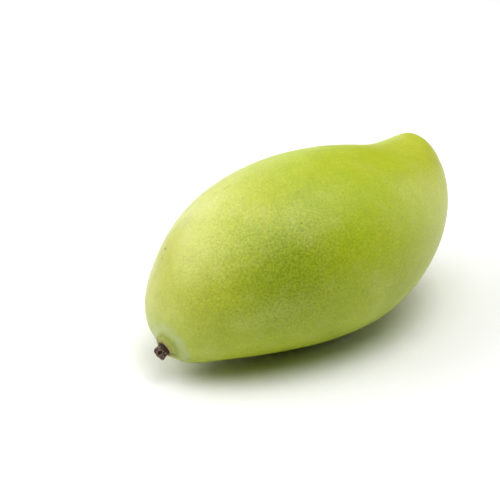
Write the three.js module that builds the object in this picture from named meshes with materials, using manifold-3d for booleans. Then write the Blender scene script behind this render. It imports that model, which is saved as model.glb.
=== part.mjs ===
import * as THREE from 'three';
import { mergeVertices } from 'three/addons/utils/BufferGeometryUtils.js';
import Module from 'manifold-3d';

// A green mango lying on its side, in millimetres. X runs from the stem end to the tip, +Y is the
// straighter belly side, -Y the rounder back, and Z is up. The fruit grew as one piece. The woody
// stub of its broken stalk stands in a shallow socket in the stem end.

// Body of the fruit
const bodyLength = 140;
const bodyWidth = 73.5;          // back to belly
const bodyThickness = 67.8;      // cheek to cheek
const taper = 0.06;              // the stem end is this share stouter than the middle, the tip thinner
const stemEndFullness = 0.19;    // how much blunter than an ellipsoid each end is
const tipEndFullness = 0.02;
const fullnessPower = 12;        // a higher power keeps the fullness nearer to the ends
const bow = 12.3;                // both ends lean to the belly side
const sweep = 4.5;               // the tip leans to the belly side and the stem end to the back
const lift = 12.7;               // the tip rises and the stem end droops
const restDepth = 0.35;          // the lowest skin is pressed this much flat where the fruit lies

// Beak near the tip, and the shallow hollow between it and the top of the body
const beakAngle = 16;            // degrees off the long axis
const beakTurn = 88.8;           // degrees up from the belly side
const beakHeight = 3.7;
const beakReach = 19.3;
const beakForward = 0.47;        // its lean to the tip, against its lean outwards
const beakOutward = 0.76;
const hollowTurn = 76.6;         // degrees up from the belly side
const hollowDepth = 6.24;
const hollowReach = 33;
const hollowBack = 13.1;         // from the beak towards the stem end
const hollowOut = 5.6;

// Gentle swellings and flats, each fading out over its reach
const unevenness = [
  { place: new THREE.Vector3(-62, 18, 4), reach: 22, push: new THREE.Vector3(2.3, -1.8, 0) },
  { place: new THREE.Vector3(-66, 3, 14), reach: 18, push: new THREE.Vector3(-0.6, 0.1, -0.3) },
  { place: new THREE.Vector3(-60, 20, -16), reach: 14, push: new THREE.Vector3(-0.3, 0.3, 0) },
  { place: new THREE.Vector3(-46.3, -0.4, -33.4), reach: 26, push: new THREE.Vector3(0, 0, 1.1) },
  { place: new THREE.Vector3(-60.8, 0, -25.7), reach: 8.9, push: new THREE.Vector3(-0.9, -0.2, -1.5) },
  { place: new THREE.Vector3(58, -12, 8), reach: 20, push: new THREE.Vector3(1.4, -0.3, 0) },
  { place: new THREE.Vector3(26, -31, -15), reach: 18, push: new THREE.Vector3(-0.4, 0.5, 0.2) },
  { place: new THREE.Vector3(69, 16.3, 21.8), reach: 7.3, push: new THREE.Vector3(0, 0, 1.5) },
  { place: new THREE.Vector3(64, -8, -4), reach: 18, push: new THREE.Vector3(-0.7, 0, 0) },
  { place: new THREE.Vector3(56, 4, 30), reach: 14, push: new THREE.Vector3(0.3, 0, 1.1) },
  { place: new THREE.Vector3(-62.7, 18.7, 18), reach: 13, push: new THREE.Vector3(-1, 1.2, 0) },
];

// Collar round the stalk
const stemDirection = new THREE.Vector3(-1, -0.04, -0.21).normalize();
const stalkAxis = new THREE.Vector3(-0.88, 0.13, -0.42).normalize();
const collarHeight = 1.2;
const collarRadius = 4.8;
const collarSoftness = 0.55;     // a larger value spreads the step down to the skin
const moatDepth = 0.1;           // the skin dips a little round the collar
const moatRadius = 7;
const moatWidth = 1.8;
const collarInnerSide = 15;      // the collar and its dip reach no farther into the fruit than this

// Stub of the stalk, and the socket that it stands in
const stubRadius = 2.4;          // at its stout, broken end
const stubLength = 4.4;          // from the floor of the socket to the broken end
const stubLobes = 5;
const lobeDepth = 0.1;           // share of the radius
const lobeTwist = 1;             // radians for each millimetre up the stub
const footShare = 0.85;          // radius of the foot, as a share of the stub's
const socketDepth = 1.6;
const socketCutter = 5;          // height of the cutter, enough to come out above the collar
const seatGap = 0.3;

// The stub's outline from the middle of its foot to the sunk pith of its broken end, as shares of its
// radius and of its length
const stubOutline = [
  [0, 0],
  [footShare - 0.08, 0],
  [footShare, 0.12],
  [footShare, 0.3],
  [0.84, 0.42],
  [0.94, 0.54],
  [1, 0.68],
  [0.97, 0.8],
  [0.86, 0.91],
  [0.66, 0.98],
  [0.4, 1],
  [0.28, 0.9],
  [0, 0.9],
];

// Fineness of the surfaces
const bodySides = 76;
const bodyRings = 60;
const endCrowding = 0.4;         // above 0 the rings crowd at both ends
const stalkCrowding = 1.2;       // above 1 they crowd once more round the stalk
const stubSides = 30;
const tidying = 0.02;            // slivers left by the cuts go where that moves the surface no more

const skin = new THREE.MeshStandardMaterial({ color: 0xa8b83e, roughness: 0.5, metalness: 0 });
const wood = new THREE.MeshStandardMaterial({ color: 0x5b443b, roughness: 0.9, metalness: 0 });

const poleAxis = new THREE.Vector3(0, 1, 0);

const wasm = await Module();
wasm.setup();

// The body without its beak, hollows and collar, at a direction from its middle
function plainPoint(direction) {
  const along = direction.x;
  const stemEnd = stemEndFullness * ((1 - along) / 2) ** fullnessPower;
  const tipEnd = tipEndFullness * ((1 + along) / 2) ** fullnessPower;
  const girth = (1 - taper * along) * (1 + stemEnd + tipEnd);
  return new THREE.Vector3(
    along * bodyLength / 2,
    direction.y * girth * bodyWidth / 2 + sweep * along ** 3 + bow * (along ** 2 - 1 / 3),
    direction.z * girth * bodyThickness / 2 + lift * along ** 3,
  );
}

// Moves a point by push, less and less with its distance from place
function pull(point, place, reach, push) {
  const strength = Math.exp(-point.distanceToSquared(place) / reach ** 2);
  return point.addScaledVector(push, strength);
}

// The way out from the long axis, at an angle up from the belly side
function sideways(degrees) {
  const angle = THREE.MathUtils.degToRad(degrees);
  return new THREE.Vector3(0, Math.cos(angle), Math.sin(angle));
}

const beakSide = sideways(beakTurn);
const hollowSide = sideways(hollowTurn);
const beakDirection = beakSide.clone()
  .multiplyScalar(Math.sin(THREE.MathUtils.degToRad(beakAngle)))
  .setX(Math.cos(THREE.MathUtils.degToRad(beakAngle)));
const beakPlace = plainPoint(beakDirection);
const beakPush = beakSide.clone().multiplyScalar(beakOutward).setX(beakForward).multiplyScalar(beakHeight);
const hollowPlace = beakPlace.clone().addScaledVector(hollowSide, hollowOut).setX(beakPlace.x - hollowBack);
const hollowPush = hollowSide.clone().multiplyScalar(-hollowDepth);

// The whole outside apart from the collar
function bodyPoint(direction) {
  const point = plainPoint(direction);
  pull(point, beakPlace, beakReach, beakPush);
  pull(point, hollowPlace, hollowReach, hollowPush);
  for (const { place, reach, push } of unevenness) {
    pull(point, place, reach, push);
  }
  return point;
}

const stalkPlace = bodyPoint(stemDirection);

// Adds the raised collar round the stalk and the slight dip round that
function addCollar(point) {
  const fromStalk = point.clone().sub(stalkPlace);
  const height = fromStalk.dot(stalkAxis);
  if (height < -collarInnerSide) {
    return point;
  }
  const radius = fromStalk.addScaledVector(stalkAxis, -height).length();
  const step = 1 / (1 + Math.exp((radius - collarRadius) / collarSoftness));
  const dip = Math.exp(-(((radius - moatRadius) / moatWidth) ** 2));
  return point.addScaledVector(stalkAxis, collarHeight * step - moatDepth * dip);
}

// A ball whose rings crowd at its poles, turned so that the first pole faces the stalk
function stalkFacingBall() {
  const ball = new THREE.SphereGeometry(1, bodySides, bodyRings);
  const positions = ball.getAttribute('position');
  const turn = new THREE.Quaternion().setFromUnitVectors(poleAxis, stemDirection);
  const direction = new THREE.Vector3();
  const spherical = new THREE.Spherical();
  for (let i = 0; i < positions.count; i += 1) {
    spherical.setFromVector3(direction.fromBufferAttribute(positions, i));
    spherical.phi -= endCrowding * Math.sin(2 * spherical.phi) / 2;
    spherical.phi = Math.PI * (spherical.phi / Math.PI) ** stalkCrowding;
    direction.setFromSpherical(spherical).applyQuaternion(turn);
    positions.setXYZ(i, direction.x, direction.y, direction.z);
  }
  return ball;
}

function solidOf(geometry) {
  const bare = geometry.clone();
  bare.deleteAttribute('normal');
  bare.deleteAttribute('uv');
  const merged = mergeVertices(bare);
  return new wasm.Manifold(new wasm.Mesh({
    numProp: 3,
    vertProperties: new Float32Array(merged.getAttribute('position').array),
    triVerts: new Uint32Array(merged.index.array),
  }));
}

function geometryOf(solid) {
  const mesh = solid.getMesh();
  const geometry = new THREE.BufferGeometry();
  geometry.setAttribute('position', new THREE.BufferAttribute(mesh.vertProperties, 3));
  geometry.setIndex(new THREE.BufferAttribute(mesh.triVerts, 1));
  geometry.computeVertexNormals();
  return geometry;
}

// Turns a shape made round +Y to stand on the stalk's axis, its foot at the floor of the socket
function standInSocket(geometry, rise) {
  const foot = stalkPlace.clone().addScaledVector(stalkAxis, collarHeight - socketDepth + rise);
  geometry.applyQuaternion(new THREE.Quaternion().setFromUnitVectors(poleAxis, stalkAxis));
  return geometry.translate(foot.x, foot.y, foot.z);
}

function makeSkinSurface() {
  const surface = stalkFacingBall();
  const positions = surface.getAttribute('position');
  const direction = new THREE.Vector3();
  for (let i = 0; i < positions.count; i += 1) {
    direction.fromBufferAttribute(positions, i).normalize();
    const point = addCollar(bodyPoint(direction));
    positions.setXYZ(i, point.x, point.y, point.z);
  }
  surface.computeBoundingBox();
  return surface;
}

// The body with the stalk's socket cut out and the lowest skin cut level
function makeFruit(surface, floorLevel) {
  const socketRadius = stubRadius * footShare * (1 + lobeDepth) + seatGap;
  const socket = new THREE.CylinderGeometry(socketRadius, socketRadius, socketCutter, stubSides);
  standInSocket(socket, socketCutter / 2 - seatGap);
  const slabSide = bodyLength * 2;
  const slab = new THREE.BoxGeometry(slabSide, slabSide, slabSide);
  slab.translate(0, 0, floorLevel - slabSide / 2);
  const body = solidOf(surface).subtract(solidOf(socket)).subtract(solidOf(slab)).simplify(tidying);
  const fruit = new THREE.Mesh(geometryOf(body), skin);
  fruit.name = 'fruit';
  return fruit;
}

// The broken stalk: a lobed stub that swells above its foot to a rounded end with a sunk pith
function makeStemStub() {
  const profile = stubOutline.map(([out, up]) => new THREE.Vector2(out * stubRadius, up * stubLength));
  const stub = new THREE.LatheGeometry(profile, stubSides);
  const positions = stub.getAttribute('position');
  for (let i = 0; i < positions.count; i += 1) {
    const around = Math.atan2(positions.getZ(i), positions.getX(i));
    const lobe = 1 + lobeDepth * Math.sin(stubLobes * around + lobeTwist * positions.getY(i));
    positions.setX(i, positions.getX(i) * lobe);
    positions.setZ(i, positions.getZ(i) * lobe);
  }
  const stemStub = new THREE.Mesh(geometryOf(solidOf(standInSocket(stub, 0))), wood);
  stemStub.name = 'stem_stub';
  return stemStub;
}

const skinSurface = makeSkinSurface();
const floorLevel = skinSurface.boundingBox.min.z + restDepth;

const mango = new THREE.Group();
mango.add(makeFruit(skinSurface, floorLevel), makeStemStub());

// The origin is under the middle of the whole, on the level that it lies on
const middle = new THREE.Box3().setFromObject(mango).getCenter(new THREE.Vector3());
mango.position.set(-middle.x, -middle.y, -floorLevel);

export default mango;
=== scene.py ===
import math

import bpy
import numpy as np
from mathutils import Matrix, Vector


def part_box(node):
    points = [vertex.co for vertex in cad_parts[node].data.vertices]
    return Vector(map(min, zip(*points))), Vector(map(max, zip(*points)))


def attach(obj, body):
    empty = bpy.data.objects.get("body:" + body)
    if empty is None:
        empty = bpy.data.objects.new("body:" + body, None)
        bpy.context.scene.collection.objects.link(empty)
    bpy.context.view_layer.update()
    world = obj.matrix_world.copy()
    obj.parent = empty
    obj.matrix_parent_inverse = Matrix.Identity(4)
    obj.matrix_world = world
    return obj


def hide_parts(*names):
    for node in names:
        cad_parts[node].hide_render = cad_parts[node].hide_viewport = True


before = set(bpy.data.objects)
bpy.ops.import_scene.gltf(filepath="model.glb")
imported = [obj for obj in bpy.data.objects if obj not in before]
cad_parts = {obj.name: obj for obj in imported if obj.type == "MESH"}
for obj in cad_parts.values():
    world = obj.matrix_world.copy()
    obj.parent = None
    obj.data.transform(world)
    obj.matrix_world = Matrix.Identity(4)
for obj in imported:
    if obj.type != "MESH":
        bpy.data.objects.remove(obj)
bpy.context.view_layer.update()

# A green mango lying on its side on a white floor. The fruit and its stub of stalk are each wrapped
# round their CAD solid, smoothed, and given the fine relief that the solids leave out.

mm = 0.001


# Node trees

class Wire:
    # an output of a node, which can stand in a sum
    def __init__(self, sheet, socket):
        self.sheet = sheet
        self.socket = socket

    def also(self, name):
        return Wire(self.sheet, pick(self.socket.node.outputs, name))

    def __add__(self, other):
        return self.sheet.maths("ADD", self, other)

    def __radd__(self, other):
        return self.sheet.maths("ADD", other, self)

    def __sub__(self, other):
        return self.sheet.maths("SUBTRACT", self, other)

    def __rsub__(self, other):
        return self.sheet.maths("SUBTRACT", other, self)

    def __mul__(self, other):
        return self.sheet.times(self, other)

    def __rmul__(self, other):
        return self.sheet.times(self, other)

    def __truediv__(self, other):
        if isVector(self):
            return self * (1 / other)
        return self.sheet.maths("DIVIDE", self, other)

    def __rtruediv__(self, other):
        return self.sheet.maths("DIVIDE", other, self)

    def __pow__(self, other):
        return self.sheet.maths("POWER", self, other)


def isVector(term):
    return isinstance(term, tuple) or isinstance(term, Wire) and term.socket.type in ("VECTOR", "RGBA")


def pick(sockets, key):
    if isinstance(key, int):
        return sockets[key]
    return next(s for s in sockets if s.name == key and s.enabled)


class Sheet:
    # a node tree while it is being drawn
    def __init__(self, tree):
        self.tree = tree

    def add(self, kind, settings=None, values=None, out=0):
        # settings come first because they decide which sockets the node has
        node = self.tree.nodes.new(kind)
        node.location.x = 180 * len(self.tree.nodes)
        for name, value in (settings or {}).items():
            setattr(node, name, value)
        for name, value in (values or {}).items():
            socket = pick(node.inputs, name)
            if isinstance(value, Wire):
                self.tree.links.new(value.socket, socket)
            elif value is not None:
                socket.default_value = value
        return Wire(self, pick(node.outputs, out)) if node.outputs else node

    def maths(self, operation, *terms):
        kind = "ShaderNodeVectorMath" if any(isVector(term) for term in terms) else "ShaderNodeMath"
        return self.add(kind, {"operation": operation}, dict(enumerate(terms)))

    def times(self, one, other):
        if isVector(one) == isVector(other):
            return self.maths("MULTIPLY", one, other)
        vector, number = (one, other) if isVector(one) else (other, one)
        return self.vectors("SCALE", {0: vector, "Scale": number})

    def vectors(self, operation, values, out=0):
        return self.add("ShaderNodeVectorMath", {"operation": operation}, values, out)

    def dot(self, one, other):
        return self.vectors("DOT_PRODUCT", {0: one, 1: other}, "Value")

    def size(self, vector):
        return self.vectors("LENGTH", {0: vector}, "Value")

    def split(self, vector):
        # the three parts of a vector
        parts = self.add("ShaderNodeSeparateXYZ", None, {0: vector}, "X")
        return parts, parts.also("Y"), parts.also("Z")

    def join(self, x=None, y=None, z=None):
        return self.add("ShaderNodeCombineXYZ", None, {"X": x, "Y": y, "Z": z})

    def clamp(self, value, low, high):
        return self.maths("MAXIMUM", self.maths("MINIMUM", value, high), low)

    def step(self, value, low, high):
        # 0 below low and 1 above high
        return self.add("ShaderNodeMapRange", {"interpolation_type": "SMOOTHSTEP"},
                        {"Value": value, "From Min": low, "From Max": high})

    def bell(self, value, middle, width):
        # 1 at the middle, fading to nothing about two widths away
        away = (value - middle) / width
        return self.maths("EXPONENT", 0 - away * away)

    def noise(self, place, wave, detail=2.0, roughness=0.5, offset=(0, 0, 0)):
        # wave is the size of one swelling, in the unit of place
        return self.add("ShaderNodeTexNoise", {"noise_dimensions": "3D"},
                        {"Vector": self.maths("ADD", place, offset), "Scale": 1 / wave,
                         "Detail": detail, "Roughness": roughness})

    def swell(self, place, wave, depth, detail=2.0, roughness=0.5):
        # rises and dips by about the depth
        return (self.noise(place, wave, detail, roughness) - 0.5) * depth * 2.0

    def cells(self, place, gap):
        return self.add("ShaderNodeTexVoronoi", {"feature": "F1", "voronoi_dimensions": "3D"},
                        {"Vector": place, "Scale": 1 / gap, "Randomness": 1.0}, "Distance")

    def attribute(self, name):
        return self.add("ShaderNodeAttribute", {"attribute_name": name}, out="Fac")

    def bump(self, height, strength=1.0):
        # height in millimetres
        return self.add("ShaderNodeBump", None, {"Strength": strength, "Distance": mm, "Height": height})

    def blend(self, share, under, over, how="MIX"):
        # share of the colour over, laid on the colour under
        under, over = ((*c, 1) if isinstance(c, tuple) and len(c) == 3 else c for c in (under, over))
        return self.add("ShaderNodeMix", {"data_type": "RGBA", "blend_type": how},
                        {"Factor": share, "A": under, "B": over}, "Result")


def linked(name, data):
    thing = bpy.data.objects.new(name, data)
    bpy.context.scene.collection.objects.link(thing)
    return thing


def newMaterial(name):
    material = bpy.data.materials.new(name)
    material.use_nodes = True
    material.node_tree.nodes.clear()
    return material, Sheet(material.node_tree)


def finishMaterial(sheet, sockets):
    shader = sheet.add("ShaderNodeBsdfPrincipled", {"subsurface_method": "RANDOM_WALK"}, sockets)
    sheet.add("ShaderNodeOutputMaterial", None, {"Surface": shader})


# The stalk's line, read from the CAD stub

sameFacing = 0.9999            # faces whose normals agree better than this lie in one plane
footSlack = 0.01 * mm          # points this near the lowest one belong to the foot


def readStalk():
    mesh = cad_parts["stem_stub"].data
    points = np.empty((len(mesh.vertices), 3))
    mesh.vertices.foreach_get("co", points.ravel())
    normals = np.empty((len(mesh.polygons), 3))
    mesh.polygons.foreach_get("normal", normals.ravel())
    areas = np.empty(len(mesh.polygons))
    mesh.polygons.foreach_get("area", areas)
    # the foot is the stub's broadest flat face, and faces down the axis
    spans = (normals @ normals.T > sameFacing) @ areas
    axis = -normals[spans.argmax()]
    heights = points @ axis
    foot = points[heights < heights.min() + footSlack].mean(0)
    return Vector(foot), Vector(axis), float(np.ptp(heights))


stalkFoot, stalkAxis, stalkLength = readStalk()
fruitLow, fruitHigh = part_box("fruit")
fruitMiddle = (fruitLow + fruitHigh) / 2
print("stalk foot", [round(c / mm, 2) for c in stalkFoot], "mm, axis", [round(c, 3) for c in stalkAxis])


# A skin wrapped round a CAD solid

wrapInputs = {
    "Solid": "Object", "Material": "Material", "Sides": "Int", "Rings": "Int",
    "End crowding": "Float", "Pole crowding": "Float", "Middle": "Vector", "Pole": "Vector",
    "Reach": "Float", "Stalk foot": "Vector", "Stalk axis": "Vector", "Facet blur": "Int",
}
mergeGap = 0.001 * mm          # corners nearer than this are one corner
farAway = 100.0                # mm, stands for a distance from the stalk that no ring reaches


def newTree(name, inputs):
    tree = bpy.data.node_groups.new(name, "GeometryNodeTree")
    for title, kind in inputs.items():
        tree.interface.new_socket(name=title, in_out="INPUT", socket_type="NodeSocket" + kind)
    tree.interface.new_socket(name="Geometry", in_out="OUTPUT", socket_type="NodeSocketGeometry")
    return tree, Sheet(tree)


def grow(name, tree, settings):
    # runs the tree on an empty host and keeps the result as a plain mesh
    host = linked(name, bpy.data.meshes.new(name))
    modifier = host.modifiers.new("shape", "NODES")
    modifier.node_group = tree
    for item in tree.interface.items_tree:
        if item.in_out == "INPUT":
            modifier[item.identifier] = settings[item.name]
    bpy.context.view_layer.update()
    depsgraph = bpy.context.evaluated_depsgraph_get()
    mesh = bpy.data.meshes.new_from_object(host.evaluated_get(depsgraph), depsgraph=depsgraph)
    host.modifiers.remove(modifier)
    host.data = mesh
    mesh.name = name
    print(name, "has", len(mesh.polygons), "faces")
    return host


def wrappedBall(sheet, given):
    # a ball with its pole at Pole, shrunk from outside onto the solid, with its facets curved
    ball = sheet.add("GeometryNodeMeshUVSphere", None,
                     {"Segments": given("Sides"), "Rings": given("Rings"), "Radius": 1.0}, "Mesh")
    unit = sheet.add("GeometryNodeInputPosition")
    height = sheet.split(unit)[2]
    polar = sheet.maths("ARCCOSINE", sheet.clamp(height, -1.0, 1.0))
    polar = polar - given("End crowding") * sheet.maths("SINE", polar * 2.0) / 2.0
    polar = math.pi * (polar / math.pi) ** given("Pole crowding")
    flat = sheet.vectors("NORMALIZE", {0: unit * (1.0, 1.0, 0.0)})
    upward = sheet.join(z=sheet.maths("COSINE", polar))
    local = flat * sheet.maths("SINE", polar) + upward
    turn = sheet.add("FunctionNodeAlignRotationToVector", {"axis": "Z"}, {"Vector": given("Pole")})
    way = sheet.add("FunctionNodeRotateVector", None, {"Vector": local, "Rotation": turn})

    loose = sheet.add("GeometryNodeObjectInfo", {"transform_space": "ORIGINAL"},
                      {"Object": given("Solid")}, "Geometry")
    solid = sheet.add("GeometryNodeMergeByDistance", None, {"Geometry": loose, "Distance": mergeGap})
    start = given("Middle") + way * given("Reach")

    def cast(carried, out):
        return sheet.add("GeometryNodeRaycast", {"data_type": "FLOAT_VECTOR"},
                         {"Target Geometry": solid, "Attribute": carried, "Source Position": start,
                          "Ray Direction": way * -1.0, "Ray Length": given("Reach")}, out)

    # the hit moves halfway to the planes that touch the solid at its facet's corners
    hit = cast(None, "Hit Position")
    corner = sheet.add("GeometryNodeInputPosition")
    normal = sheet.add("GeometryNodeInputNormal")
    lean = [sheet.dot(cast(normal * part, "Attribute"), hit) for part in sheet.split(normal)]
    leaning = sheet.join(*lean)
    level = cast(normal * sheet.dot(normal, corner), "Attribute")
    curved = hit + (level - leaning) * 0.5
    return ball, way, curved


def moved(sheet, shape, offset=None, position=None, selection=None):
    return sheet.add("GeometryNodeSetPosition", None,
                     {"Geometry": shape, "Offset": offset, "Position": position, "Selection": selection})


def blurred(sheet, value, times, weight=1.0):
    return sheet.add("GeometryNodeBlurAttribute", {"data_type": "FLOAT_VECTOR"},
                     {"Value": value, "Iterations": times, "Weight": weight})


def aroundAxis(sheet, given, here):
    # height along the stalk's axis and distance from it in millimetres, and the way out from it
    fromFoot = here - given("Stalk foot")
    height = sheet.dot(fromFoot, given("Stalk axis"))
    radial = fromFoot - given("Stalk axis") * height
    return height / mm, sheet.size(radial) / mm, radial


def stored(sheet, shape, name, value):
    return sheet.add("GeometryNodeStoreNamedAttribute", {"data_type": "FLOAT", "domain": "POINT"},
                     {"Geometry": shape, "Name": name, "Value": value})


def closed(sheet, shape, material):
    smooth = sheet.add("GeometryNodeSetShadeSmooth", None, {"Geometry": shape, "Shade Smooth": True})
    real = sheet.add("GeometryNodeRealizeInstances", None, {"Geometry": smooth})
    painted = sheet.add("GeometryNodeSetMaterial", None, {"Geometry": real, "Material": material})
    sheet.add("NodeGroupOutput", None, {"Geometry": painted})


# Fruit

fruitLook = {
    "sides": 300,
    "rings": 300,
    "reach": 0.2,                    # m, longer than from the fruit's middle to any point of it
    "endCrowding": 0.4,              # rings crowd at both ends, and once more round the stalk
    "poleCrowding": 1.2,
    "facetBlur": 5,                  # rounds that melt what is left of the solid's facets
    "stemBand": (-12.0, -6.0),       # mm along the stalk's line, where the stem end begins
    # the cap over the socket, and the collar round it
    "collarTop": 1.6,                # mm above the stub's foot
    "rimRadius": 2.9,                # mm, inside this the collar closes over the CAD socket
    "capFacing": 0.5,                # the cap lies only where the skin looks this much up the stalk
    "capEdge": (0.5, -0.3),          # mm beside the rim, where the melting of the cap fades in
    "capBlur": 60,
    "collarBand": (5.0, 12.0),       # mm from the stalk's line, where the collar's own form fades out
    "collarKeep": 0.75,              # share of the facets' melting that the collar is spared
    # the underside
    "letDown": 0.02,                 # mm, brings the melted underside back to the floor
    "restBand": (0.5, 9.0),          # mm above the floor, where that fades out
    "clearBand": (0.5, 6.0),         # mm above the floor, where the relief fades in
    # form round the stub
    "creviceRadius": 1.95,           # mm, where the skin meets the stub
    "creviceSlope": 0.4,
    "creviceDepth": 0.7,
    "lipAway": 0.9,                  # mm, the skin swells a little outside the crevice
    "lipWidth": 0.5,
    "lipHeight": 0.16,
    "lipWave": 2.6,
    "lumpRadius": 4.2,               # mm, lumps on the collar's shoulder
    "lumpWidth": 1.5,
    "lumpWave": 1.5,
    "lumpHeight": 0.7,
    "puckers": 9,                    # faint folds running down from the collar
    "puckerDepth": 0.09,
    "puckerRadius": 8.0,
    "puckerWidth": 4.0,
    "puckerWave": 9.0,               # mm, over which the folds wander
    "puckerDrift": 5.0,
    # the whole skin
    "dentWave": 21.0,
    "dentDepth": 0.16,
    "rippleWave": 5.5,
    "rippleDepth": 0.03,
}


def fruitTree(look):
    tree, sheet = newTree("mangoSkin", {
        **wrapInputs, "Rim radius": "Float", "Collar top": "Float", "Crevice radius": "Float",
        "Crevice depth": "Float", "Lip height": "Float", "Puckers": "Float", "Pucker depth": "Float",
        "Dent wave": "Float", "Dent depth": "Float", "Ripple wave": "Float", "Ripple depth": "Float",
    })
    given = sheet.add("NodeGroupInput").also
    axis = given("Stalk axis")

    # wrap the ball round the solid, with a plain cap over the socket
    ball, way, hit = wrappedBall(sheet, given)
    capMiddle = given("Stalk foot") + axis * (given("Collar top") * mm)
    capReach = sheet.dot(capMiddle - given("Middle"), axis) / sheet.dot(way, axis)
    onCap = given("Middle") + way * capReach
    fromCap = sheet.size(onCap - capMiddle) / mm
    nearCap = sheet.maths("LESS_THAN", fromCap, given("Rim radius"))
    facing = sheet.maths("GREATER_THAN", sheet.dot(way, axis), look["capFacing"])
    place = sheet.add("ShaderNodeMix", {"data_type": "VECTOR"},
                      {"Factor": nearCap * facing, "A": hit, "B": onCap}, "Result")
    shape = moved(sheet, ball, position=place)

    # melt the cap's edge, then the facets, less where the collar needs its form
    here = sheet.add("GeometryNodeInputPosition")
    height, out, radial = aroundAxis(sheet, given, here)
    nearStem = sheet.step(height, *look["stemBand"])
    outside, inside = look["capEdge"]
    capMask = sheet.step(out, given("Rim radius") + outside, given("Rim radius") + inside) * nearStem
    shape = moved(sheet, shape, position=blurred(sheet, here, look["capBlur"], capMask))
    onCollar = (1 - sheet.step(out, *look["collarBand"])) * nearStem
    melting = blurred(sheet, here, given("Facet blur"), 1 - look["collarKeep"] * onCollar)
    shape = moved(sheet, shape, position=melting)

    # keep the flat spot on the floor
    x, y, z = sheet.split(here)
    down = sheet.maths("MAXIMUM", z - look["letDown"] * mm, 0.0)
    under = 1 - sheet.step(z, *(edge * mm for edge in look["restBand"]))
    shape = moved(sheet, shape, position=sheet.join(x, y, z + (down - z) * under))

    # crevice, lip, lumps and puckers round the stub
    radius = given("Crevice radius")
    pastCrevice = sheet.maths("MAXIMUM", out - radius, 0.0) / look["creviceSlope"]
    crevice = sheet.maths("EXPONENT", 0 - pastCrevice ** 2.0)
    lip = sheet.bell(out, radius + look["lipAway"], look["lipWidth"])
    wobble = sheet.noise(here / mm, look["lipWave"])
    rise = lip * given("Lip height") * (wobble * 2.0) - crevice * given("Crevice depth")
    lumps = sheet.noise(here / mm, look["lumpWave"], detail=3.0, offset=(7.0, 2.0, 5.0)) - 0.5
    lumps = lumps * sheet.bell(out, look["lumpRadius"], look["lumpWidth"]) * look["lumpHeight"]
    shape = moved(sheet, shape, offset=axis * ((rise + lumps) * nearStem * mm))
    turn = sheet.maths("ARCTAN2", *sheet.split(radial)[1:])
    drift = sheet.noise(here / mm, look["puckerWave"], detail=1.0) * look["puckerDrift"]
    fold = sheet.maths("SINE", turn * given("Puckers") + drift)
    fold = fold * sheet.bell(out, look["puckerRadius"], look["puckerWidth"]) * nearStem

    # broad dents and faint ripples over the whole skin, fading out where the fruit rests
    normal = sheet.add("GeometryNodeInputNormal")
    dents = sheet.swell(here / mm, given("Dent wave"), given("Dent depth"), detail=1.0)
    ripples = sheet.swell(here / mm, given("Ripple wave"), given("Ripple depth"), detail=1.0)
    clear = sheet.step(z, *(edge * mm for edge in look["clearBand"]))
    relief = (dents + ripples + fold * given("Pucker depth")) * clear
    shape = moved(sheet, shape, offset=normal * (relief * mm))

    shape = stored(sheet, shape, "fromStalk", out + (1 - nearStem) * farAway)
    shape = stored(sheet, shape, "aroundStalk", turn)
    closed(sheet, shape, given("Material"))
    return tree


# Skin

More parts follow.
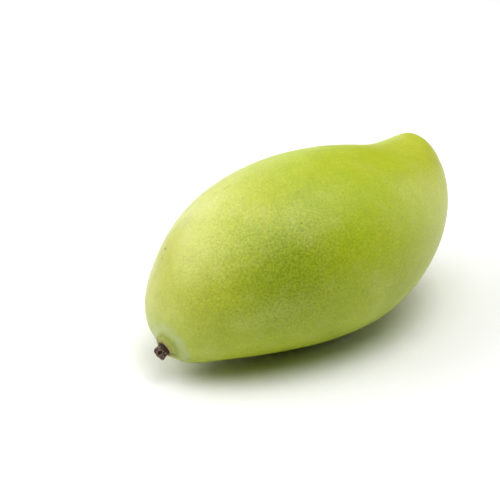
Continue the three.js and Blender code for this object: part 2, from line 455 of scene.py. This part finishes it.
skinLook = {
    "fresh": (0.368, 0.468, 0.006),    # yellow-green of most of the skin
    "oliveAndPaintedShade": (0.255, 0.340, 0.004),    # deeper green, in random drifts, and painted shade on the cheek that faces the camera
    "paintedHighlight": (0.55, 0.575, 0.04),      # painted highlight: yellower and paler where the lamps behind and to the left light the flank above the stalk
    "tip": (0.520, 0.575, 0.02),       # yellower again towards the tip
    "paleBloomAndHighlight": (0.64, 0.66, 0.22),        # whitish waxy drifts, also laid on as painted highlight on the lit flank
    "amber": (0.47, 0.46, 0.01),       # faint yellower drifts
    "cloudTint": (0.68, 0.74, 0.50),   # what darker clouds leave of the colour
    "pore": (0.17, 0.21, 0.004),
    "halo": (0.46, 0.54, 0.24),        # greyish bloom round the stalk
    "ledge": (0.40, 0.37, 0.075),      # ring of skin next to the stalk
    "ledgeFootShade": (0.14, 0.19, 0.02),   # painted shade in the groove where that ring ends
    # dark brown of stains and blemishes, also used as painted shade in the crevice
    "scarAndShade": (0.060, 0.034, 0.014),
    # zones are ovals: the middle in shares of the fruit's half size, the reach in mm
    # painted shade: the cheek that faces the camera, darkened with the deeper green
    "paintedShadeZone": {"middle": (-0.58, -0.63, 0.25), "reach": (23, 16, 18)},
    # painted highlight: the flank above the stalk that faces the lamps
    "paintedHighlightZone": {"middle": (-0.77, 0.42, 0.28), "reach": (42, 25, 33)},
    "tipZone": {"middle": (0.80, -0.30, 0.30), "reach": (46, 54, 54)},
    "waxZone": {"middle": (-0.84, 0.48, 0.12), "reach": (36, 20, 32)},
    "speckZone": {"middle": (-0.62, -0.62, 0.36), "reach": (27, 22, 20)},
    # drifts are soft patches of noise: their size in mm, and the edge between none and all of it
    "oliveDrift": {"wave": 34.0, "detail": 2.0, "offset": (0.0, 0.0, 0.0), "edge": (0.4, 0.7)},
    "amberDrift": {"wave": 16.0, "detail": 2.0, "offset": (2.0, 33.0, 8.0), "edge": (0.48, 0.68)},
    "paleDrift": {"wave": 20.0, "detail": 3.0, "offset": (40.0, 3.0, 11.0), "edge": (0.48, 0.75)},
    "speckDrift": {"wave": 15.0, "detail": 1.0, "offset": (9.0, 21.0, 4.0), "edge": (0.25, 0.7)},
    "oliveShare": 0.45,
    "amberShare": 0.2,
    "paleShare": 0.12,
    "highlightPale": 0.32,                 # more of the pale laid on as painted highlight on the lit flank
    "highlightPaleDrift": 0.36,
    # grain and pores
    "speckWave": 0.75,                 # mm
    "contrast": 0.42,
    "driftContrast": 0.3,
    "zoneContrast": 0.9,
    "highlightCalm": 0.5,                  # share of the contrast taken away under the painted highlight
    "poreGap": 1.35,
    "poreShare": 0.3,
    "poreSize": {"inner": 0.16, "outer": (0.1, 0.24)},
    "poreWarp": {"wave": 1.2, "by": 0.6},
    # clouds
    "cloudWave": 5.5,
    "cloudShare": 0.16,
    "highlightCloudShare": 0.15,
    "darkCloudEdge": (0.46, 0.70),
    "paleCloudEdge": (0.50, 0.30),
    "paleCloudShare": 0.5,
    # rings round the stalk, in mm from its line
    "fuzz": {"wave": 3.2, "by": 1.6},
    "fineWave": 0.9,
    "haloRing": {"radius": 6.9, "width": 1.9},
    "haloShare": {"least": 0.35, "streaks": 0.5},
    "streakStretch": {"around": 2.5, "out": 0.9},
    "streakEdge": (0.35, 0.65),
    "ledgeFootShadeRing": {"radius": 4.75, "width": 0.8},
    "ledgeFootShadeShare": 0.42,
    "ledgeBand": (3.5, 4.3),
    "ledgeShare": 0.9,
    "stainBand": (2.6, 4.0),
    "stainEdge": (0.44, 0.6),
    "stainShare": 0.7,
    "creviceShadeBand": (2.3, 3.0),
    "creviceShadeFuzz": 1.2,
    "scarAndShadeShare": 0.92,
    # small blemishes: both ends of a line in mm, its width and its strength
    "blemishes": [
        {"start": (-57.3, 17.6, 42.3), "end": (-57.2, 17.3, 42.4), "width": 0.42, "strength": 0.95},
        {"start": (-59.5, 16.8, 39.9), "end": (-59.6, 16.7, 39.6), "width": 0.3, "strength": 0.6},
        {"start": (-36.4, 10.7, 60.5), "end": (-33.6, 10.5, 61.6), "width": 0.3, "strength": 0.35},
        {"start": (-38.4, 13.4, 58.8), "end": (-37.6, 12.5, 59.5), "width": 0.3, "strength": 0.3},
        {"start": (-69.4, 8.4, 15.4), "end": (-69.4, 8.2, 15.1), "width": 0.75, "strength": 0.7},
        {"start": (-67.8, 2.0, 11.4), "end": (-67.8, 1.7, 11.3), "width": 0.75, "strength": 0.6},
    ],
    # surface
    "roughness": 0.45,
    "speckRough": 0.1,
    "haloRough": 0.12,
    "ledgeRough": 0.2,
    "wax": {"least": 0.7, "drift": 0.3, "tip": 0.4},
    "grainWave": 0.5,
    "grainHeight": 0.05,               # mm, in the bump alone
    "poreDepth": 0.04,
    "speckHeight": 0.054,
    "ledgeHeight": 0.25,
    "specular": 0.38,
    "ior": 1.45,
    "coatRoughness": 0.4,
    "coatIor": 1.9,
    "fleshShare": 0.12,                # light that goes into the flesh and comes out nearby
    "fleshRadius": (1.0, 1.0, 0.25),
    "fleshScale": 2.5,                 # mm
}


def oval(sheet, place, zone):
    half = (fruitHigh - fruitLow) / 2
    middle = tuple((fruitMiddle[i] + half[i] * zone["middle"][i]) / mm for i in range(3))
    away = (place - middle) * tuple(1 / reach for reach in zone["reach"])
    return sheet.bell(sheet.size(away), 0.0, 1.0)


def patches(sheet, place, drift):
    noise = sheet.noise(place, drift["wave"], detail=drift["detail"], offset=drift["offset"])
    return sheet.step(noise, *drift["edge"])


def ring(sheet, away, look):
    return sheet.bell(away, look["radius"], look["width"])


def blemish(sheet, place, line):
    # strongest on the line from start to end, gone a width and a half beside it
    start, end = Vector(line["start"]), Vector(line["end"])
    span = end - start
    fromStart = place - tuple(start)
    share = sheet.clamp(sheet.dot(fromStart, tuple(span / span.length_squared)), 0.0, 1.0)
    along = sheet.join(share * span.x, share * span.y, share * span.z)
    return sheet.bell(sheet.size(fromStart - along), 0.0, line["width"]) * line["strength"]


def skinMaterial(look):
    material, sheet = newMaterial("mangoSkinWax")
    place = sheet.add("ShaderNodeTexCoord", out="Object") * (1 / mm)
    fromStalk = sheet.attribute("fromStalk")
    aroundStalk = sheet.attribute("aroundStalk")

    # broad drifts of colour, painted shade on the cheek that faces the camera and painted highlight on the
    # lit flank
    oliveAndPaintedShade = oval(sheet, place, look["paintedShadeZone"])
    paintedHighlight = oval(sheet, place, look["paintedHighlightZone"])
    tip = oval(sheet, place, look["tipZone"])
    drift = patches(sheet, place, look["oliveDrift"]) * look["oliveShare"]
    colour = sheet.blend(sheet.maths("MAXIMUM", oliveAndPaintedShade, drift), look["fresh"], look["oliveAndPaintedShade"])
    colour = sheet.blend(tip * (1 - oliveAndPaintedShade), colour, look["tip"])
    colour = sheet.blend(paintedHighlight * (1 - oliveAndPaintedShade), colour, look["paintedHighlight"])
    amberDrift = patches(sheet, place, look["amberDrift"])
    colour = sheet.blend(amberDrift * look["amberShare"], colour, look["amber"])
    paleDrift = patches(sheet, place, look["paleDrift"])
    # painted highlight: the pale is laid on the lit flank, more where the waxy drifts are
    paleBloomAndHighlight = paleDrift * look["paleShare"] + paintedHighlight * (look["highlightPale"] + paleDrift * look["highlightPaleDrift"])
    colour = sheet.blend(paleBloomAndHighlight, colour, look["paleBloomAndHighlight"])

    # specks and pores, plainer under the painted highlight
    speckDrift = patches(sheet, place, look["speckDrift"])
    speckled = oval(sheet, place, look["speckZone"])
    contrast = look["contrast"] + speckDrift * look["driftContrast"] + speckled * look["zoneContrast"]
    contrast = contrast * (1 - paintedHighlight * look["highlightCalm"])
    speck = sheet.noise(place, look["speckWave"], roughness=0.6)
    colour = colour * (1 + (speck - 0.5) * contrast)
    warp = sheet.noise(place, look["poreWarp"]["wave"], detail=1.0).also("Color") - (0.5, 0.5, 0.5)
    pores = sheet.cells(place + warp * look["poreWarp"]["by"], look["poreGap"])
    chance = sheet.add("ShaderNodeSeparateColor", None, {0: pores.also("Color")}, "Red")
    least, more = look["poreSize"]["outer"]
    dot = 1 - sheet.step(pores, chance * look["poreSize"]["inner"], least + chance * more)
    colour = sheet.blend(dot * contrast * look["poreShare"], colour, look["pore"])

    # soft painted clouds of light and shade, clearest under the painted highlight on the flank
    clouds = sheet.noise(place, look["cloudWave"], detail=3.0, roughness=0.6, offset=(3.0, 17.0, 29.0))
    cloudy = look["cloudShare"] + paintedHighlight * look["highlightCloudShare"]
    darkClouds = sheet.step(clouds, *look["darkCloudEdge"]) * cloudy
    colour = sheet.blend(darkClouds, colour, look["cloudTint"], "MULTIPLY")
    paleClouds = sheet.step(clouds, *look["paleCloudEdge"]) * cloudy * look["paleCloudShare"]
    colour = sheet.blend(paleClouds, colour, look["paleBloomAndHighlight"])

    # bloom round the stalk, streaked outwards
    fine = sheet.noise(place, look["fineWave"], detail=4.0, roughness=0.65)
    coarse = sheet.noise(place, look["fuzz"]["wave"], detail=3.0)
    fuzzy = fromStalk + (coarse - 0.5) * look["fuzz"]["by"]
    stretch = look["streakStretch"]
    streak = sheet.join(aroundStalk * stretch["around"], fromStalk * stretch["out"])
    streaks = sheet.step(sheet.noise(streak, 1.0), *look["streakEdge"])
    share = look["haloShare"]["least"] + streaks * look["haloShare"]["streaks"]
    bloom = ring(sheet, fuzzy, look["haloRing"]) * share
    colour = sheet.blend(bloom, colour, look["halo"])

    # the ring of skin next to the stalk, painted shade in the groove at its foot, its stains, and painted
    # shade in the dark crevice
    # painted shade: a dark green line in the groove at the ledge's outer foot
    foot = ring(sheet, fuzzy, look["ledgeFootShadeRing"])
    colour = sheet.blend(foot * look["ledgeFootShadeShare"], colour, look["ledgeFootShade"])
    ledge = 1 - sheet.step(fuzzy, *look["ledgeBand"])
    colour = sheet.blend(ledge * look["ledgeShare"], colour, look["ledge"])
    stain = (1 - sheet.step(fromStalk, *look["stainBand"])) * sheet.step(fine, *look["stainEdge"])
    # painted shade: the crevice next to the stub is painted near black
    crevice = 1 - sheet.step(fromStalk + (fine - 0.5) * look["creviceShadeFuzz"], *look["creviceShadeBand"])
    dark = sheet.maths("MAXIMUM", stain * look["stainShare"], crevice)
    colour = sheet.blend(dark * look["scarAndShadeShare"], colour, look["scarAndShade"])
    for line in look["blemishes"]:
        colour = sheet.blend(blemish(sheet, place, line), colour, look["scarAndShade"])

    # surface
    waxy = oval(sheet, place, look["waxZone"]) * (look["wax"]["least"] + paleDrift * look["wax"]["drift"])
    wax = sheet.maths("MAXIMUM", waxy, tip * look["wax"]["tip"])
    rough = look["roughness"] + (speck - 0.5) * look["speckRough"]
    rough = rough + bloom * look["haloRough"] + ledge * look["ledgeRough"]
    grain = sheet.noise(place, look["grainWave"], roughness=0.6)
    relief = grain * look["grainHeight"] - dot * look["poreDepth"]
    # the specks' bump is stronger under the painted shade
    relief = relief + speck * look["speckHeight"] * (1 + oliveAndPaintedShade)
    relief = relief + ledge * fine * look["ledgeHeight"]
    finishMaterial(sheet, {
        "Base Color": colour, "Roughness": rough, "Normal": sheet.bump(relief), "IOR": look["ior"],
        "Specular IOR Level": look["specular"], "Coat Weight": wax,
        "Coat Roughness": look["coatRoughness"], "Coat IOR": look["coatIor"],
        "Subsurface Weight": look["fleshShare"], "Subsurface Radius": look["fleshRadius"],
        "Subsurface Scale": look["fleshScale"] * mm,
    })
    return material


# Stub of the stalk

stubLook = {
    "sides": 160,
    "rings": 150,
    "reach": 0.02,                      # m, longer than from the stub's middle to any point of it
    "facetBlur": 3,
    "clearBand": (1.4, 2.4),            # mm above the foot, where the relief fades in over the collar
    "knobWave": 1.7,                    # mm
    "knobDepth": 0.6,
    "swelling": 0.04,                   # mm, all round above the collar
    "barkWave": 0.5,
    "barkDepth": 0.13,
    "barkStretch": 0.7,                 # share by which the bark's grain is drawn out up the stalk
    "lean": (-0.10, -0.02, -0.34),      # mm, how far the knob sits beside the foot
    "leanBand": (1.2, 3.2),
    "pithWay": (-0.87, -0.46, 0.12),    # the broken end is worn towards this side
    "pithDepth": 0.7,
    "pithRadius": 0.8,
    "pithEdge": (0.5, 1.3),             # shares of that radius, where the hollow's side begins and ends
    "pithFace": (0.5, 1.5),             # mm from the stub's middle
    "bark": (0.042, 0.022, 0.013),
    "worn": (0.29, 0.165, 0.12),
    # near black, as painted shade in the sunk pith and painted shadow round the neck
    "pith": (0.008, 0.004, 0.003),
    "coarseWave": 1.1,
    "fineWave": 0.35,
    "wornEdge": (0.47, 0.62),
    "wornFuzz": 0.5,
    "wornShare": 0.85,
    "neckBand": (1.7, 2.5),             # mm above the foot, with painted shadow below, where the stub sinks into the collar
    "neckFuzz": 0.8,
    "neckShadowShare": 0.7,
    "pithShade": (0.35, 0.6),
    "pithFuzz": 0.4,
    "roughness": 0.72,
    "roughSpread": 0.3,
    "fineHeight": 0.14,                 # mm, in the bump alone
    "coarseHeight": 0.1,
    "bumpStrength": 0.8,
}


def stubTree(look):
    tree, sheet = newTree("brokenStalk", {
        **wrapInputs, "Knob wave": "Float", "Knob depth": "Float", "Swelling": "Float",
        "Bark wave": "Float", "Bark depth": "Float", "Lean": "Vector", "Pith way": "Vector",
        "Pith depth": "Float", "Pith radius": "Float",
    })
    given = sheet.add("NodeGroupInput").also
    ball, _, hit = wrappedBall(sheet, given)
    shape = moved(sheet, ball, position=hit)
    here = sheet.add("GeometryNodeInputPosition")
    shape = moved(sheet, shape, position=blurred(sheet, here, given("Facet blur")))

    # knobs, bark and the sunk pith, all fading out inside the socket
    height = aroundAxis(sheet, given, here)[0]
    clear = sheet.step(height, *look["clearBand"])
    normal = sheet.add("GeometryNodeInputNormal")
    knobs = sheet.swell(here / mm, given("Knob wave"), given("Knob depth")) + given("Swelling")
    along = here / mm - given("Stalk axis") * (height * look["barkStretch"])
    bark = sheet.swell(along, given("Bark wave"), given("Bark depth"), detail=3.0, roughness=0.6)
    leaning = sheet.step(height, *look["leanBand"])
    pithWay = given("Pith way")
    fromMiddle = here - given("Middle")
    ahead = sheet.dot(fromMiddle, pithWay)
    fromPith = sheet.size(fromMiddle - pithWay * ahead) / mm
    pith = 1 - sheet.step(fromPith / given("Pith radius"), *look["pithEdge"])
    pith = pith * sheet.step(ahead / mm, *look["pithFace"])
    shape = moved(sheet, shape, offset=normal * ((knobs + bark) * clear * (1 - pith) * mm))
    shape = moved(sheet, shape, offset=pithWay * (0 - pith * given("Pith depth") * mm))
    shape = moved(sheet, shape, offset=given("Lean") * (leaning * mm))
    shape = stored(sheet, shape, "pith", pith)
    shape = stored(sheet, shape, "upStalk", height)
    closed(sheet, shape, given("Material"))
    return tree


def woodMaterial(look):
    material, sheet = newMaterial("brokenStalkWood")
    place = sheet.add("ShaderNodeTexCoord", out="Object") * (1 / mm)
    up = sheet.attribute("upStalk")
    pith = sheet.attribute("pith")
    coarse = sheet.noise(place, look["coarseWave"], detail=3.0, roughness=0.6)
    fine = sheet.noise(place, look["fineWave"], detail=4.0, roughness=0.65, offset=(5.0, 1.0, 8.0))
    worn = sheet.step(coarse + (fine - 0.5) * look["wornFuzz"], *look["wornEdge"])
    colour = sheet.blend(worn * look["wornShare"], look["bark"], look["worn"])
    # painted shadow round the stub's neck next to the collar
    neckShadow = 1 - sheet.step(up + (coarse - 0.5) * look["neckFuzz"], *look["neckBand"])
    # painted shade in the sunk pith
    hollowShade = sheet.step(pith + (fine - 0.5) * look["pithFuzz"], *look["pithShade"])
    dark = sheet.maths("MAXIMUM", hollowShade, neckShadow * look["neckShadowShare"])
    colour = sheet.blend(dark, colour, look["pith"])
    relief = fine * look["fineHeight"] + coarse * look["coarseHeight"]
    finishMaterial(sheet, {"Base Color": colour, "Normal": sheet.bump(relief, look["bumpStrength"]),
                           "Roughness": look["roughness"] + (fine - 0.5) * look["roughSpread"]})
    return material


# Stage: floor, light and camera

stageLook = {
    "floorSide": 6.0,
    "floorColour": (0.92, 0.92, 0.92, 1),
    "floorRoughness": 0.55,
    "floorSpecular": 0.3,
    "fadeBand": (0.55, 1.0),           # m from the middle, where the floor fades into the surround
    "worldColour": (1.0, 1.0, 1.0, 1),
    "worldStrength": 1.0,
}

# wide soft boxes all round; turn is counted from the camera's side of the fruit towards the right of
# the picture, in degrees
lamps = {
    "aboveFront": {"turn": 0, "height": 70, "watts": 7.4},
    "aboveRight": {"turn": 90, "height": 70, "watts": 8.0},
    "aboveBehind": {"turn": 180, "height": 70, "watts": 2.6},
    "lowRight": {"turn": 120, "height": 12, "watts": 3.7},
    "lowBehind": {"turn": 200, "height": 12, "watts": 3.2},
    "behindLeft": {"turn": 215, "height": 40, "watts": 1.4},
    "leftBehind": {"turn": 240, "height": 40, "watts": 2.4},
    "left": {"turn": 270, "height": 40, "watts": 4.8},
    "leftFront": {"turn": 300, "height": 40, "watts": 3.8},
}

lampSize = {"side": 0.9, "away": 1.3}

cameraLook = {
    "turn": -46.13,            # degrees round from the front, as seen in the photograph
    "height": 24.52,
    "away": 0.5243,
    "target": (0.0, 0.0, 0.030),
    "aimRight": -0.02483,      # the view's middle lies this far beside the target
    "aimUp": -0.00065,
    "lens": 104.06,
    "sensor": 36,
    "farthest": 20,
}


def wayFrom(turn, height):
    turn, height = math.radians(turn), math.radians(height)
    level = math.cos(height)
    return Vector((math.sin(turn) * level, -math.cos(turn) * level, math.sin(height)))


def makeFloor(look):
    mesh = bpy.data.meshes.new("floor")
    half = look["floorSide"] / 2
    corners = [(-half, -half, 0), (half, -half, 0), (half, half, 0), (-half, half, 0)]
    mesh.from_pydata(corners, [], [(0, 1, 2, 3)])
    material, sheet = newMaterial("whiteFloor")
    # the lamps' light gives out further off, so the floor fades into the white surround
    fromMiddle = sheet.size(sheet.add("ShaderNodeTexCoord", out="Object"))
    fade = 1 - sheet.step(fromMiddle, *look["fadeBand"])
    finishMaterial(sheet, {"Base Color": look["floorColour"], "Alpha": fade,
                           "Roughness": look["floorRoughness"],
                           "Specular IOR Level": look["floorSpecular"]})
    mesh.materials.append(material)
    linked("floor", mesh)


def makeWorld(look):
    world = bpy.data.worlds.new("softSurround")
    world.use_nodes = True
    world.node_tree.nodes.clear()
    sheet = Sheet(world.node_tree)
    glow = sheet.add("ShaderNodeBackground", None,
                     {"Color": look["worldColour"], "Strength": look["worldStrength"]})
    sheet.add("ShaderNodeOutputWorld", None, {"Surface": glow})
    # the camera alone sees it, so it lights nothing
    for ray in ("diffuse", "glossy", "transmission", "scatter"):
        setattr(world.cycles_visibility, ray, False)
    bpy.context.scene.world = world


def makeLamps(look, camera):
    for name, lamp in look.items():
        data = bpy.data.lights.new(name, "AREA")
        data.shape = "SQUARE"
        data.size = lampSize["side"]
        data.energy = lamp["watts"]
        light = linked(name, data)
        way = wayFrom(camera["turn"] + lamp["turn"], lamp["height"])
        light.location = Vector(camera["target"]) + way * lampSize["away"]
        light.rotation_euler = way.to_track_quat("Z", "Y").to_euler()


def makeCamera(look):
    data = bpy.data.cameras.new("photoView")
    data.lens = look["lens"]
    data.sensor_width = look["sensor"]
    data.clip_end = look["farthest"]
    camera = linked("photoView", data)
    back = wayFrom(look["turn"], look["height"])
    right = Vector((0, 0, 1)).cross(back).normalized()
    up = back.cross(right)
    target = Vector(look["target"])
    aim = target + right * look["aimRight"] + up * look["aimUp"]
    camera.location = target + back * look["away"]
    camera.rotation_euler = (camera.location - aim).to_track_quat("Z", "Y").to_euler()
    bpy.context.scene.camera = camera
    bpy.context.scene.view_settings.view_transform = "Standard"


# Making it all

def dress(piece, node):
    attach(piece, "root")
    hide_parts(node)


def makeFruit():
    look = fruitLook
    collarMiddle = stalkFoot + stalkAxis * look["collarTop"] * mm
    fruit = grow("mangoSkin", fruitTree(look), {
        "Solid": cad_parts["fruit"], "Material": skinMaterial(skinLook),
        "Sides": look["sides"], "Rings": look["rings"],
        "End crowding": look["endCrowding"], "Pole crowding": look["poleCrowding"],
        "Middle": fruitMiddle, "Pole": (collarMiddle - fruitMiddle).normalized(),
        "Reach": look["reach"], "Stalk foot": stalkFoot, "Stalk axis": stalkAxis,
        "Facet blur": look["facetBlur"], "Rim radius": look["rimRadius"], "Collar top": look["collarTop"],
        "Crevice radius": look["creviceRadius"], "Crevice depth": look["creviceDepth"],
        "Lip height": look["lipHeight"], "Puckers": float(look["puckers"]),
        "Pucker depth": look["puckerDepth"], "Dent wave": look["dentWave"], "Dent depth": look["dentDepth"],
        "Ripple wave": look["rippleWave"], "Ripple depth": look["rippleDepth"],
    })
    dress(fruit, "fruit")


def makeStub():
    look = stubLook
    stub = grow("brokenStalk", stubTree(look), {
        "Solid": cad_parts["stem_stub"], "Material": woodMaterial(look),
        "Sides": look["sides"], "Rings": look["rings"],
        "End crowding": 0.0, "Pole crowding": 1.0,
        "Middle": stalkFoot + stalkAxis * stalkLength / 2, "Pole": stalkAxis,
        "Reach": look["reach"], "Stalk foot": stalkFoot, "Stalk axis": stalkAxis,
        "Facet blur": look["facetBlur"], "Knob wave": look["knobWave"], "Knob depth": look["knobDepth"],
        "Swelling": look["swelling"], "Bark wave": look["barkWave"], "Bark depth": look["barkDepth"],
        "Lean": look["lean"], "Pith way": Vector(look["pithWay"]).normalized(),
        "Pith depth": look["pithDepth"], "Pith radius": look["pithRadius"],
    })
    dress(stub, "stem_stub")


makeCamera(cameraLook)
makeLamps(lamps, cameraLook)
makeWorld(stageLook)
makeFloor(stageLook)
print("stage, lamps and camera are set")
makeFruit()
makeStub()
print("fruit and stub are made")
